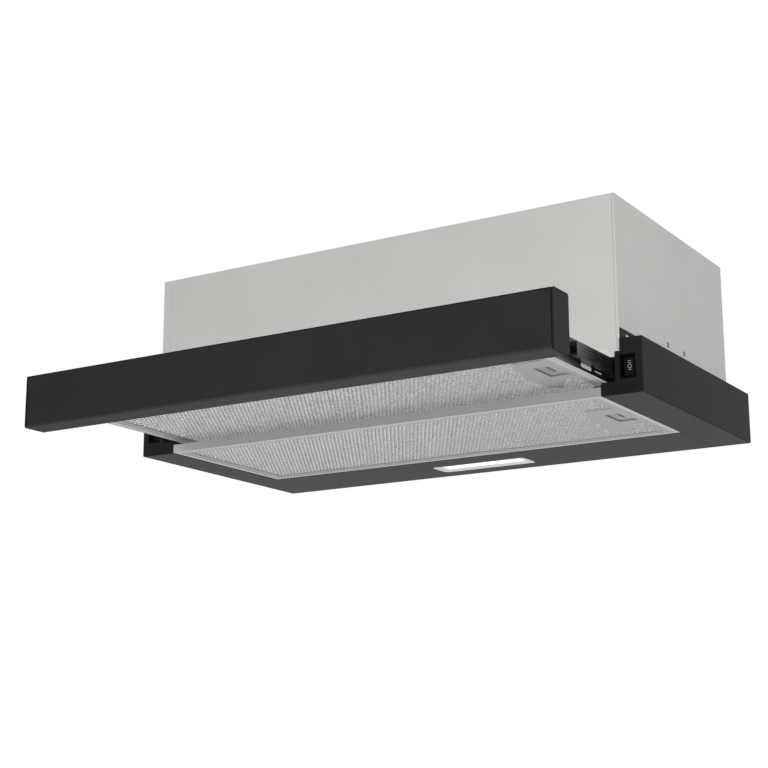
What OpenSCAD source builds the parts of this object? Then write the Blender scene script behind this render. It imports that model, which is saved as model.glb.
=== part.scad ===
// Pull out range hood for a 60 cm wall cabinet, shown with its drawer open.
// x runs across the hood with 0 in its middle, y runs from the front to the back, and z is up
// from the underside. The origin is below the middle of the whole hood with the drawer open.
// Inside the modules y = 0 is the front of the black base; at_front() moves it to its place.

/* [Case] */
// Overall width of the hood
case_w = 600; // [500:10:900]
// Depth of the black base, front blocks included
case_d = 290; // [280:5:330]
// Height of the side rails
rail_h = 54; // [50:1:70]
// Width of the underside of a side rail
rail_w = 41.6; // [41:0.2:46]
// Height of the lip along the inner edge of a rail
lip_h = 13; // [12.5:0.5:15]
// Height of the recess for a slide, above the lip of a rail
recess_h = 29; // [28:0.5:31]
// Length of a slotted hole in the screw flange
flange_slot_len = 12; // [6:0.5:16]
// Width of a slotted hole in the screw flange
flange_slot_w = 3.6; // [3:0.1:4.4]
// Sheet thickness of the rails and of the rear strip
rail_sheet = 1.2; // [0.8:0.1:1.6]
// Height of the screw flange above the top of a rail
flange_h = 11; // [8:1:20]
// Radius of the folded lower edge of a rail
rail_fold_r = 1.6; // [1:0.1:3]
// Thickness of the face of a front block
block_t = 2.4; // [1.6:0.2:2.8]

/* [Motor housing] */
// Distance from the outer face of a rail to the side of the housing
housing_inset = 23; // [21:0.5:25]
// Height of the lower edge of the housing above the underside
housing_z0 = 45; // [44:0.5:48]
// Height of the top of the housing above the underside
housing_top = 200; // [196:1:260]
// Distance from the front of the base to the front of the housing
housing_y0 = 1; // [0.5:0.5:4]
// Depth of the fold along the lower edge of the housing front
front_fold_d = 40; // [12:1:60]
// Distance from the back of the housing to the back of the base
housing_back_gap = 3; // [2:0.5:8]
// Sheet thickness of the housing
housing_sheet = 0.8; // [0.6:0.1:1.2]
// Width of the left front fold of the housing
left_fold = 10; // [6:0.5:20]
// Width of the right front fold of the housing
right_fold = 2.6; // [2:0.2:10]
// Height of the band above the left front fold
fold_band_h = 9; // [6:0.5:15]
// Gap that shows as a seam between two panels
seam = 0.3; // [0.2:0.05:0.5]
// Radius of a fixing hole in the side of the housing
side_hole_r = 2.1; // [1.5:0.1:3]
// Distance between the two fixing holes in a side
side_hole_pitch = 43; // [30:1:80]
// Distance from the front of the base to the first fixing hole
side_hole_y = 123; // [60:1:150]
// Height of the fixing holes above the underside
side_hole_z = 75; // [70:1:150]

/* [Drawer] */
// How far the drawer is pulled out
drawer_open = 157; // [130:1:165]
// Thickness of the drawer fascia
fascia_t = 30; // [24:1:40]
// Height of the drawer fascia
fascia_h = 54.5; // [50:0.5:70]
// Wall thickness of the fascia profile
fascia_wall = 1.5; // [1:0.1:2.5]
// Radius of the long edges of the fascia
fascia_r = 2.4; // [2.2:0.1:4]
// Distance from the end of the fascia profile to the outer face of its end cap
cap_t = 2.6; // [1.8:0.1:4]
// Sheet thickness of the drawer sides and of the rear bar
drawer_sheet = 1; // [0.8:0.1:1.2]
// Width of the lower edge of a drawer side
drawer_edge = 3.1; // [2.8:0.1:4]
// Height of a drawer side
drawer_side_h = 22; // [19:0.5:24]
// Height of the underside of the drawer above the underside of the hood
drawer_z = 15; // [14.5:0.1:15.6]

/* [Filters] */
// Depth of a filter cassette
filter_d = 197.5; // [180:0.5:200]
// Thickness of a filter cassette
filter_t = 8.9; // [8.5:0.1:9.2]
// Play between a filter and the ledges that hold it
filter_play = 0.5; // [0.3:0.1:0.8]
// Width of the outer rim of the filter frame
filter_rim = 5.5; // [4:0.1:7]
// Width of the whole filter frame
filter_border = 13; // [11:0.5:16]
// Distance between two ridges of the filter pad
ridge_pitch = 4; // [3.5:0.1:8]
// Angle of the ridges of the filter pad from the y axis
ridge_angle = 31; // [0:1:45]
// Travel of a filter latch
latch_travel = 3; // [2:0.1:3.2]

/* [Slides] */
// Height of the outer member of a slide
slide_h = 18; // [16.5:0.1:19]
// Sheet thickness of the slide members
slide_sheet = 0.8; // [0.7:0.05:0.9]
// Diameter of a slide ball
ball_d = 2; // [1.9:0.05:2]
// Running clearance between a ball and its groove
ball_play = 0.05; // [0.02:0.01:0.08]
// Length of a middle slide member
middle_len = 215; // [200:5:225]
// Length of an inner slide member
inner_len = 226; // [200:1:230]
// Length of a ball cage
cage_len = 110; // [80:5:120]
// Number of balls in a row
ball_n = 7; // [3:1:12]

/* [Switches] */
// Width of a switch
switch_w = 16; // [14:0.1:16]
// Height of a switch
switch_h = 23.5; // [20:0.1:23.5]
// Height of the middle of a switch above the underside
switch_z = 26.4; // [25.8:0.1:27]
// Tilt of a rocker to each side
rocker_tilt = 9; // [5:0.5:10]

/* [Lamp] */
// Width of the lamp bezel
lamp_w = 118; // [80:1:200]
// Depth of the lamp bezel
lamp_d = 34; // [30:0.5:44]
// Width of the sloping rim around the clear opening of the lamp
lamp_rim = 7; // [4:0.5:9]
// Distance of the lamp from the middle of the hood
lamp_x = -3.5; // [-40:0.5:40]
// Radius of the corners of the lamp bezel
lamp_corner_r = 5; // [1:0.5:5.5]
// Distance from the back of the base to the middle of the lamp
lamp_back = 41.5; // [35:0.5:50]

/* [Blower] */
// Diameter of a fan wheel
wheel_d = 120; // [100:1:124]
// Width of a fan wheel
wheel_w = 58; // [40:1:62]
// Number of blades on a fan wheel
blade_n = 32; // [16:1:40]
// Length of a blade from the inside to the outside of the wheel
blade_depth = 11.6; // [8:0.1:14]
// Thickness of a blade
blade_t = 0.8; // [0.6:0.1:1.2]
// Growth of the scroll radius at each quarter turn
scroll_step = 6; // [4:0.5:8]
// Distance from the front of the base to the fan shaft
blower_y = 150; // [140:1:152]
// Radius of the fan shaft
shaft_r = 4; // [3:0.1:5]
// Running clearance of the fan shaft in the motor
shaft_play = 0.05; // [0.02:0.01:0.08]
// Play between the fan shaft and the hub of a wheel
hub_play = 0.03; // [0.02:0.01:0.08]
// Diameter of the motor
motor_d = 84; // [70:1:90]
// Length of the motor
motor_len = 52; // [44:1:54]

/* [Outlet] */
// Outer diameter of the outlet collar
collar_d = 120; // [100:1:125]
// Height of the outlet collar above the housing
collar_h = 30; // [24:1:50]
// Wall thickness of the outlet collar
collar_wall = 2.5; // [2:0.1:3]

/* [Hidden] */

$fn = 48;
eps = 0.01;
LEFT = -1;
RIGHT = 1;

// Distances across the hood, measured from its middle
case_x = case_w / 2;
rail_x = case_x - rail_w;
ledge_sheet = 1;
ledge_x = rail_x - ledge_sheet;
filter_x = ledge_x - filter_play;
drawer_x = ledge_x + drawer_edge;
slide_t = 11.5;
slide_x = drawer_x + slide_t;
housing_x = case_x - housing_inset;
flange_x = housing_x + 0.2;
switch_x = case_x - 15;

// Heights above the underside
step_z = lip_h + recess_h;
slide_z = (lip_h + step_z) / 2 + 1.2;
case_filter_z = 0.3;
drawer_filter_z = drawer_z + 0.1;

// Distances from the front of the base
case_front = (drawer_open + fascia_t - case_d) / 2;
strip_y = filter_d + filter_play;
housing_y1 = case_d - housing_back_gap;
drawer_back = strip_y - drawer_open + 2.5;
lamp_y = case_d - lamp_back;
drawer_filter_y = 1.5 - drawer_open;

// Screws
screw_r = 1.6;
screw_head_r = 3.2;
screw_head_h = 1.6;
screw_len = 6;

// ---------- helpers ----------

module at_front() translate([0, case_front, 0]) children();

module on_side(side) mirror([side < 0 ? 1 : 0, 0, 0]) children();

module block(x0, x1, y0, y1, z0, z1) translate([x0, y0, z0]) cube([x1 - x0, y1 - y0, z1 - z0]);

module rect(x0, x1, y0, y1) translate([x0, y0]) square([x1 - x0, y1 - y0]);

module rounded_rect(x0, x1, y0, y1, r) {
    rect(x0 + r, x1 - r, y0, y1);
    rect(x0, x1, y0 + r, y1 - r);
    for (x = [x0 + r, x1 - r], y = [y0 + r, y1 - r]) translate([x, y]) circle(r = r);
}

// A section drawn in x and z, extruded along y
module along_y(y0, y1) translate([0, y1, 0]) rotate([90, 0, 0]) linear_extrude(y1 - y0) children();

// A section drawn in y and z, extruded along x
module along_x(x0, x1) translate([x0, 0, 0]) rotate([90, 0, 90]) linear_extrude(x1 - x0) children();

module rod_x(x0, x1, y, z, r) translate([x0, y, z]) rotate([0, 90, 0]) cylinder(r = r, h = x1 - x0);

module rod_y(x, y0, y1, z, r) translate([x, y1, z]) rotate([90, 0, 0]) cylinder(r = r, h = y1 - y0);

module rod_z(x, y, z0, z1, r) translate([x, y, z0]) cylinder(r = r, h = z1 - z0);

// A slot along y through a wall that stands across x
module slot_y(x0, x1, y0, y1, z, w) {
    block(x0, x1, y0 + w / 2, y1 - w / 2, z - w / 2, z + w / 2);
    for (y = [y0 + w / 2, y1 - w / 2]) rod_x(x0, x1, y, z, w / 2);
}

// ---------- black base ----------

module rail_outline() intersection() {
    union() {
        rect(rail_x, case_x, 0, lip_h);
        rect(slide_x, case_x, 0, step_z);
        rect(flange_x, case_x, 0, rail_h);
    }
    rounded_rect(rail_x - 2 * rail_fold_r, case_x, 0, 2 * rail_h, rail_fold_r);
}

module rail_hollow(wall) {
    rect(rail_x + wall, case_x - wall, wall, lip_h - wall);
    rect(slide_x + wall, case_x - wall, wall, step_z - wall);
    rect(flange_x + wall, case_x - wall, wall, rail_h - wall);
}

// A folded rail with its flange, which stands beside the housing and has a slot near each end
module rail_cover(side) color("#2b2b2b") at_front() on_side(side) difference() {
    union() {
        along_y(block_t, case_d) difference() {
            rail_outline();
            rail_hollow(rail_sheet);
        }
        block(flange_x, flange_x + rail_sheet, block_t, case_d, rail_h - rail_sheet, rail_h + flange_h);
    }
    for (y = [20, case_d - 20])
        slot_y(flange_x - 5, flange_x + 5, y - flange_slot_len / 2, y + flange_slot_len / 2,
            rail_h + flange_h * 0.55, flange_slot_w);
}

// A moulded cap in the front end of a rail, with a window for its switch
module front_block(side) color("#202020") at_front() on_side(side) {
    gap = 0.1;
    rib = 1.3;
    rib_len = 9;
    along_y(0, block_t) difference() {
        rail_outline();
        rect(switch_x - switch_w / 2 - 0.15, switch_x + switch_w / 2 + 0.15,
            switch_z - switch_h / 2 - 0.15, switch_z + switch_h / 2 + 0.15);
    }
    inner = case_x - rail_sheet - gap;
    low = rail_sheet + gap;
    rib_y = block_t + rib_len;
    block(inner - rib, inner, block_t, rib_y, rail_fold_r + rail_sheet, rail_h - rail_sheet - gap);
    block(rail_x + low, inner - rib, block_t, rib_y, low, low + rib);
}

// The plate behind the fixed filter, folded up along its front and back edges
module rear_strip() color("#3a3a3a") at_front() {
    half = rail_x - 0.4;
    difference() {
        block(-half, half, strip_y, case_d, 0, rail_sheet);
        lamp_box(lamp_w + 0.4, lamp_d + 0.4, -1, rail_sheet + 1);
    }
    block(-half, half, strip_y, strip_y + rail_sheet, 0, lip_h - 1);
    block(-half, half, case_d - rail_sheet, case_d, 0, rail_h);
    block(-half, half, housing_y1, case_d, rail_h - rail_sheet, rail_h);
}

// ---------- motor housing ----------

module housing_front() color("#bdbdbb") at_front() {
    x0 = left_fold + seam - housing_x;
    x1 = housing_x - right_fold - seam;
    band_z = housing_top - fold_band_h;
    block(x0, x1, housing_y0, housing_y0 + housing_sheet, housing_z0, housing_top);
    block(-housing_x, x0, housing_y0, housing_y0 + housing_sheet, band_z + seam, housing_top);
    block(x0, x1, housing_y0, housing_y0 + front_fold_d, housing_z0, housing_z0 + housing_sheet);
}

module housing_side(side) color("#b4b4b4") at_front() on_side(side) {
    fold = side < 0 ? left_fold : right_fold;
    fold_top = side < 0 ? housing_top - fold_band_h : housing_top;
    front = side < 0 ? housing_y0 + housing_sheet : housing_y0;
    under = housing_top - housing_sheet;
    difference() {
        block(housing_x - housing_sheet, housing_x, front, housing_y1, housing_z0, housing_top);
        for (y = [side_hole_y, side_hole_y + side_hole_pitch])
            rod_x(housing_x - 5, housing_x + 5, y, side_hole_z, side_hole_r);
    }
    block(housing_x - fold, housing_x, housing_y0, housing_y0 + housing_sheet, housing_z0, fold_top);
    difference() {
        block(housing_x - 13, housing_x - housing_sheet, 20, housing_y1 - 20, under - housing_sheet, under);
        for (y = top_screw_ys())
            rod_z(housing_x - 7, y, under - 2, under + 1, screw_r);
    }
}

function top_screw_ys() = [40, (housing_y0 + housing_y1) / 2, housing_y1 - 40];

module housing_top_panel() color("#b8b8b8") at_front() {
    under = housing_top - housing_sheet;
    difference() {
        block(housing_sheet - housing_x, housing_x - housing_sheet, housing_y0 + housing_sheet,
            housing_y1 - housing_sheet, under, housing_top);
        translate([0, 0, under - 1]) linear_extrude(5) intersection() {
            translate([0, collar_y]) circle(r = collar_r - collar_wall - 1);
            rect(-collar_r, collar_r, mouth_y0, mouth_y1);
        }
        for (s = [LEFT, RIGHT], y = top_screw_ys())
            rod_z(s * (housing_x - 7), y, under - 1, housing_top + 1, screw_r);
        for (x = [-collar_screw_x, collar_screw_x], y = collar_screw_ys())
            rod_z(x, y, under - 1, housing_top + 1, screw_r);
        rod_z(gland_x, gland_y, under - 1, housing_top + 1, gland_r + 0.1);
    }
}

module housing_back() color("#b0b0b0") at_front() {
    difference() {
        block(housing_sheet - housing_x, housing_x - housing_sheet, housing_y1 - housing_sheet, housing_y1,
            housing_z0, housing_top);
        for (x = [-160, 160]) rod_y(x, housing_y1 - 2, housing_y1 + 1, housing_top - 25, 3);
    }
}

// ---------- filters ----------

// Window of the stamped latch plate: a slot at each side of the finger tab and a finger hole
tab_x0 = -29.4;
tab_x1 = -21.6;
tab_y0 = 81;
tab_y1 = 104;
finger_y1 = 119;
finger_x = -12.9;
latch_y = 100;
latch_z = 2;
latch_t = 1.2;
bolt_w = 12;
pocket_x = -47.5;
pocket_y0 = 77;
pocket_y1 = 123;

// A ring of the frame, from one distance inside its edge to another
module frame_ring(t0, t1, z0, z1) difference() {
    block(t0 - filter_x, filter_x - t0, t0, filter_d - t0, z0, z1);
    block(t1 - filter_x, filter_x - t1, t1, filter_d - t1, z0 - 1, z1 + 1);
}

// Outline of the stamped plate beside the latch, in distances from the right edge of the filter
module latch_plate_2d() translate([filter_x, 0]) difference() {
    polygon([[-11, 57], [-43, 57], [-57, 110], [-55, 158], [-42, 164], [-26, 132], [-11, 130]]);
    rect(tab_x0 - latch_travel - 1, tab_x1 + 4, tab_y0, finger_y1);
    rect(tab_x0, finger_x, tab_y1, finger_y1);
}

// Mitre seams across the corners of the rim
module mitre_seams() for (sx = [-1, 1], sy = [-1, 1])
    translate([sx * filter_x, (1 + sy) / 2 * filter_d, 0]) rotate([0, 0, atan2(-sy, -sx)])
        block(1, filter_rim * sqrt(2), -0.12, 0.12, -1, 0.25);

// The folded frame of a cassette: rim, step and inner band below, a flange above
module filter_frame() {
    tab_ys = [40, filter_d - 52];
    difference() {
        union() {
            frame_ring(0, 1, 0, filter_t);
            frame_ring(0, filter_rim, 0, 1);
            frame_ring(filter_rim - 0.8, filter_border, 0.6, 1.6);
            frame_ring(0, 6, filter_t - 1, filter_t);
            translate([0, 0, 0.6]) linear_extrude(1) latch_plate_2d();
        }
        block(filter_x - 2, filter_x + 1, latch_y - bolt_w / 2 - 0.3, latch_y + bolt_w / 2 + 0.3,
            latch_z - 0.2, latch_z + latch_t + 0.8);
        mitre_seams();
    }
    for (y = tab_ys) block(-filter_x - 1.3, 0.5 - filter_x, y, y + 12, 1.2, 2.4);
}

// The pad of expanded metal, with slanting ridges on its lower face and a pocket for the latch
module filter_pad() {
    z0 = 2.3;
    z1 = filter_t - 1.1;
    ridge = 1.1;
    inset = filter_rim + 2.2;
    reach = filter_x + filter_d;
    n = ceil(reach / ridge_pitch);
    difference() {
        intersection() {
            block(inset - filter_x, filter_x - inset, inset, filter_d - inset, z0 - 1, z1);
            rotate([0, 0, ridge_angle]) along_y(-reach, reach) polygon(concat(
                [for (i = [-n:n]) each [[i * ridge_pitch, z0 + ridge], [(i + 0.5) * ridge_pitch, z0]]],
                [[(n + 1) * ridge_pitch, z1 + 1], [-n * ridge_pitch, z1 + 1]]));
        }
        block(filter_x + pocket_x, filter_x, pocket_y0, pocket_y1, 0, z1 - 1);
    }
}

// The sliding latch: a plate with a bolt, and a finger tab that shows in the window of the frame
module latch() {
    x0 = pocket_x + latch_travel + 5;
    plate_y0 = pocket_y0 + 2;
    plate_y1 = pocket_y1 - 2;
    translate([filter_x, 0, 0]) {
        block(x0, -7, plate_y0, plate_y1, latch_z, latch_z + latch_t);
        block(-7.5, 1.3, latch_y - bolt_w / 2, latch_y + bolt_w / 2, latch_z, latch_z + latch_t + 0.4);
        difference() {
            block(tab_x0, tab_x1, tab_y0 + 0.6, tab_y1 - 0.4, 0.7, latch_z + eps);
            for (y = [tab_y0 + 5, tab_y0 + 10, tab_y0 + 15])
                block(tab_x0 - 1, tab_x1 + 1, y, y + 1.2, 0, 1.1);
        }
    }
}

// The bow of spring strip behind the latch
module latch_spring() {
    r = 20;
    strip = 0.4;
    start = filter_x + pocket_x + 0.2;
    translate([0, 0, latch_z]) linear_extrude(latch_t) intersection() {
        translate([start + r + strip, latch_y]) difference() {
            circle(r = r + strip);
            circle(r = r);
        }
        rect(start - 1, start + latch_travel + 4.6, latch_y - r, latch_y + r);
    }
}

module in_case() at_front() translate([0, 0, case_filter_z]) children();

module in_drawer() at_front() translate([0, drawer_filter_y, drawer_filter_z]) children();

module case_filter_frame() color("#c4c4c4") in_case() filter_frame();
module case_filter_pad() color("#a6a6a4") in_case() filter_pad();
module case_latch() color("#9c9c9c") in_case() latch();
module case_latch_spring() color("#8c8c90") in_case() latch_spring();
module drawer_filter_frame() color("#c4c4c4") in_drawer() filter_frame();
module drawer_filter_pad() color("#a6a6a4") in_drawer() filter_pad();
module drawer_latch() color("#9c9c9c") in_drawer() latch();
module drawer_latch_spring() color("#8c8c90") in_drawer() latch_spring();

// An angle along a rail that holds one side of the fixed filter
module filter_ledge(side) color("#2b2b2b") at_front() on_side(side) {
    slot_y0 = side < 0 ? [39, filter_d - 53] : [latch_y - bolt_w / 2 - 0.6];
    slot_len = side < 0 ? 14 : bolt_w + 1.2;
    slot_z0 = case_filter_z + (side < 0 ? 1 : latch_z - 0.3);
    slot_z1 = case_filter_z + (side < 0 ? 5 : latch_z + latch_t + 0.8);
    difference() {
        block(ledge_x, ledge_x + ledge_sheet, 0, strip_y, case_filter_z + 0.8, lip_h);
        for (y = slot_y0) block(ledge_x - 1, ledge_x + 2, y, y + slot_len, slot_z0, slot_z1);
    }
    block(ledge_x - 8, ledge_x + eps, 0, strip_y, case_filter_z + filter_t + 0.4,
        case_filter_z + filter_t + 1.2);
}

// ---------- drawer ----------

module fascia_outline(inset) rounded_rect(inset - drawer_open - fascia_t, -drawer_open - inset,
    inset, fascia_h - inset, fascia_r - inset);

module fascia() color("#303030") at_front() difference() {
    along_x(cap_t - case_x, case_x - cap_t) difference() {
        fascia_outline(0);
        fascia_outline(fascia_wall);
    }
    drawer_screw_places(screw_r);
}

// A moulded end cap: its face stands off the profile by a shadow gap, and its collar plugs in
module fascia_cap(side) color("#383838") at_front() on_side(side) {
    face_t = 1;
    plug_len = 8;
    y0 = -drawer_open - fascia_t;
    y1 = -drawer_open;
    along_x(case_x - face_t, case_x) fascia_outline(0);
    along_x(case_x - cap_t - plug_len, case_x - face_t + eps) difference() {
        t = fascia_wall + 0.15;
        w = t + 1.5;
        rect(y0 + t, y1 - t, t, fascia_h - t);
        rect(y0 + w, y1 - w, w, fascia_h - w);
    }
}

drawer_screw_x = ledge_x - 12;
drawer_screw_z = drawer_z + filter_t + 7;

module drawer_screw_places(r) for (s = [LEFT, RIGHT], z = [drawer_screw_z])
    rod_y(s * drawer_screw_x, -drawer_open - 4, 3 - drawer_open, z, r);

// A folded drawer side: it carries the filter on its inside and the slide on its outside
module drawer_side(side) color("#bcbcba") at_front() on_side(side) {
    y0 = -drawer_open;
    inner_top = drawer_z + filter_t + 1.8;
    slots = side < 0 ? [39, filter_d - 53] : [latch_y - bolt_w / 2 - 0.6];
    slot_len = side < 0 ? 14 : bolt_w + 1.2;
    slot_z0 = drawer_filter_z + (side < 0 ? 1 : latch_z - 0.3);
    slot_z1 = drawer_filter_z + (side < 0 ? 5 : latch_z + latch_t + 0.8);
    difference() {
        along_y(y0, drawer_back) {
            rect(ledge_x, drawer_x, drawer_z, drawer_z + drawer_sheet);
            rect(ledge_x, ledge_x + drawer_sheet, drawer_z, inner_top);
            rect(ledge_x - 8, ledge_x + drawer_sheet, inner_top - 0.8, inner_top);
            rect(drawer_x - drawer_sheet, drawer_x, drawer_z, drawer_z + drawer_side_h);
        }
        for (y = slots) translate([0, drawer_filter_y + y, 0])
            block(ledge_x - 1, ledge_x + drawer_sheet + 0.4, 0, slot_len, slot_z0, slot_z1);
    }
    difference() {
        block(drawer_screw_x - 8, drawer_x - drawer_sheet, y0, y0 + drawer_sheet,
            inner_top, drawer_z + drawer_side_h);
        drawer_screw_places(screw_r);
    }
}

module drawer_rear_bar() color("#bcbcba") at_front() {
    half = ledge_x;
    y0 = drawer_back - drawer_sheet;
    shelf_z = drawer_z + filter_t + 1.8;
    block(-half, half, y0, drawer_back, drawer_z + 1, drawer_z + drawer_side_h - 1);
    block(-half, half, y0 - 7, drawer_back, shelf_z, shelf_z + drawer_sheet);
}

// A pan-head screw, its head on z = 0 and its shank below
module screw() {
    translate([0, 0, -screw_len]) cylinder(r = screw_r - 0.1, h = screw_len);
    difference() {
        cylinder(r1 = screw_head_r, r2 = screw_head_r * 0.7, h = screw_head_h);
        for (a = [0, 90]) rotate([0, 0, a])
            translate([0, 0, screw_head_h]) cube([screw_head_r, 0.7, 1.4], center = true);
    }
}

module drawer_screws() color("#9a9a9a") at_front() for (s = [LEFT, RIGHT])
    translate([s * drawer_screw_x, drawer_sheet - drawer_open, drawer_screw_z]) rotate([-90, 0, 0]) screw();

// ---------- slides ----------

ball_r = ball_d / 2;
// Centres of the outer and the inner row of balls, from the back and the middle of the slide
outer_ball_x = slide_x - 4.6;
outer_ball_z = slide_h / 2 - slide_sheet - 0.7;
inner_ball_x = slide_x - 7.8;
inner_ball_z = outer_ball_z - 2.2;
// Outer faces of the flanges of the middle and the inner member
middle_half = outer_ball_z - 0.7;
inner_half = inner_ball_z - 0.7;

module mirrored_z() {
    children();
    mirror([0, 1]) children();
}

module groove(x, z) translate([x, z]) circle(r = ball_r + ball_play, $fn = 32);

// A low rib, rolled out of a sheet whose face is at x
module rolled_rib(x, z, h) intersection() {
    r = 1.2;
    translate([x + h - r, z]) circle(r = r);
    rect(x - 0.2, x + h, z - r, z + r);
}

module outer_slide_section() translate([0, slide_z]) {
    rect(slide_x - slide_sheet, slide_x, -slide_h / 2, slide_h / 2);
    mirrored_z() {
        difference() {
            rect(slide_x - 10.2, slide_x, slide_h / 2 - slide_sheet, slide_h / 2);
            groove(outer_ball_x, outer_ball_z);
        }
        rect(slide_x - 10.2, slide_x - 9.4, slide_h / 2 - slide_sheet - 0.6, slide_h / 2);
    }
}

module middle_slide_section() translate([0, slide_z]) {
    web = slide_x - 2.1;
    rect(web - slide_sheet, web, -middle_half, middle_half);
    for (i = [0:2]) rolled_rib(web, 4.6 - i * slide_rib_pitch, 0.2);
    mirrored_z() difference() {
        rect(slide_x - 9.6, web, inner_ball_z + 0.7, middle_half);
        groove(outer_ball_x, outer_ball_z);
        groove(inner_ball_x, inner_ball_z);
    }
}

// The channel of the inner member
module inner_slide_section() translate([0, slide_z]) mirrored_z() difference() {
    rect(drawer_x, slide_x - 4.2, inner_half - slide_sheet, inner_half);
    groove(inner_ball_x, inner_ball_z);
}

// The plate of the inner member covers the drawer side and has two ribs along its top
module inner_plate_section() {
    face = drawer_x + slide_sheet;
    rect(drawer_x, face, drawer_z + 0.2, slide_z + 12.3);
    for (i = [0:1]) rolled_rib(face, slide_z + 10.2 - i * slide_rib_pitch, 0.5);
}

slide_rib_pitch = 3.8;
slide_y0 = block_t + 0.6;
middle_y0 = 1 - drawer_open / 2;
inner_y0 = slide_y0 + 1 - drawer_open;
channel_y0 = middle_y0 + 1;

module outer_slide(side) color("#242424") at_front() on_side(side) difference() {
    along_y(slide_y0, case_d - 10) outer_slide_section();
    for (y = [60, 200]) slot_y(slide_x - 2, slide_x + 1, y, y + 12, slide_z, 5);
}

module middle_slide(side) color("#262626") at_front() on_side(side) difference() {
    along_y(middle_y0, middle_y0 + middle_len) middle_slide_section();
    for (i = [0:2]) {
        y = middle_y0 + 39.5 + 65 * i;
        slot_y(slide_x - 4, slide_x - 1, y, y + 11, slide_z - 4.7, 1.7);
    }
}

// The slots below the channel show the bright drawer side behind them
module inner_slide(side) color("#262626") at_front() on_side(side) difference() {
    low = drawer_z + 4.8;
    union() {
        along_y(inner_y0, inner_y0 + inner_len) inner_plate_section();
        along_y(channel_y0, inner_y0 + inner_len) inner_slide_section();
    }
    slot_y(drawer_x - 1, drawer_x + 2, inner_y0 + 101, inner_y0 + 125, low, 4.4);
    slot_y(drawer_x - 1, drawer_x + 2, inner_y0 + 131, inner_y0 + 148, low, 1.7);
    for (y = [inner_y0 + 20, inner_y0 + 190]) rod_x(drawer_x - 1, drawer_x + 2, y, slide_z, 2.2);
}

// A cage is a strip above and below, joined by a web, with the balls pressed into it
module ball_cage(ball_x, ball_z, web_x, y0) {
    t = 0.5;
    along_y(y0, y0 + cage_len) translate([0, slide_z]) {
        rect(web_x, web_x + t, -ball_z - t / 2, ball_z + t / 2);
        mirrored_z() rect(ball_x - 1.6, web_x + t, ball_z - t / 2, ball_z + t / 2);
    }
    pitch = cage_len / ball_n;
    for (i = [0:ball_n - 1], s = [-1, 1])
        translate([ball_x, y0 + pitch * (i + 0.5), slide_z + s * ball_z]) sphere(r = ball_r, $fn = 32);
}

module outer_ball_cage(side) color("#c9c9c0") at_front() on_side(side)
    ball_cage(outer_ball_x, outer_ball_z, slide_x - 1.55, 25);

module inner_ball_cage(side) color("#c9c9c0") at_front() on_side(side)
    ball_cage(inner_ball_x, inner_ball_z, slide_x - 3.65, channel_y0 + drawer_open / 4 + 0.5);

// ---------- switches ----------

pivot_y = 7.5;
pivot_r = 1.2;
switch_wall = 2.2;
rocker_face = 3.6;

module switch_body(side) color("#1a1a1a") at_front() on_side(side) {
    x0 = switch_x - switch_w / 2;
    x1 = switch_x + switch_w / 2;
    z0 = switch_z - switch_h / 2;
    z1 = switch_z + switch_h / 2;
    depth = 20;
    difference() {
        block(x0, x1, 0.8, depth, z0, z1);
        block(x0 + switch_wall, x1 - switch_wall, 0, depth - 3, z0 + switch_wall, z1 - switch_wall);
        rod_x(x0 - 1, x1 + 1, pivot_y, switch_z, pivot_r + 0.05);
    }
    for (z = [-7, 0, 7])
        block(switch_x - 2.4, switch_x + 2.4, depth, depth + 8, switch_z + z - 0.4, switch_z + z + 0.4);
}

// A rocker on two stub pins, with a hollowed front face
module rocker(tilt) translate([0, pivot_y, switch_z]) rotate([tilt, 0, 0]) {
    half_w = switch_w / 2 - switch_wall - 0.3;
    reach = switch_h / 2 - switch_wall - 0.15;
    along_x(switch_x - half_w, switch_x + half_w) difference() {
        intersection() {
            circle(r = reach);
            rect(-rocker_face, 3.5, -reach, reach);
        }
        translate([-rocker_face - 39.2, 0]) circle(r = 40, $fn = 96);
    }
    rod_x(switch_x - half_w - 1.2, switch_x + half_w + 1.2, 0, 0, pivot_r);
}

module speed_rocker() color("#141414") at_front() rocker(0);
module light_rocker() color("#141414") at_front() on_side(LEFT) rocker(rocker_tilt);

// ---------- lamp ----------

lamp_lip = 1.4;
lens_t = 2;
// Clear opening of the lamp
lens_w = lamp_w - 2 * lamp_rim;
lens_d = lamp_d - 2 * lamp_rim;

module lamp_box(w, d, z0, z1) translate([0, 0, z0]) linear_extrude(z1 - z0)
    rounded_rect(lamp_x - w / 2, lamp_x + w / 2, lamp_y - d / 2, lamp_y + d / 2, lamp_corner_r);

// The bezel slopes from its edge up to the lens, and its walls rise behind the strip
module lamp_bezel() color("#b6b6b6") at_front() difference() {
    lamp_box(lamp_w, lamp_d, 0, lip_h - 1);
    lamp_box(lamp_w - 3, lamp_d - 3, lamp_lip, lip_h);
    hull() {
        lamp_box(lamp_w - 4, lamp_d - 4, -eps, 0);
        lamp_box(lens_w, lens_d, lamp_lip, lamp_lip + eps);
    }
}

module lamp_lens() color("#fbfbf6") at_front()
    lamp_box(lamp_w - 6, lamp_d - 6, lamp_lip + 2 * eps, lamp_lip + lens_t);

module led_board() color("#e8e8e0") at_front() {
    board_z = lip_h - 5;
    led_pitch = 10;
    n = floor((lens_w - 8) / led_pitch);
    lamp_box(lamp_w - 3.4, lamp_d - 3.4, board_z, board_z + 1.2);
    for (i = [0:n - 1]) translate([lamp_x + (i - (n - 1) / 2) * led_pitch, lamp_y, board_z - 0.4])
        cube([3, 3, 0.8], center = true);
}

// ---------- blower ----------

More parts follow.
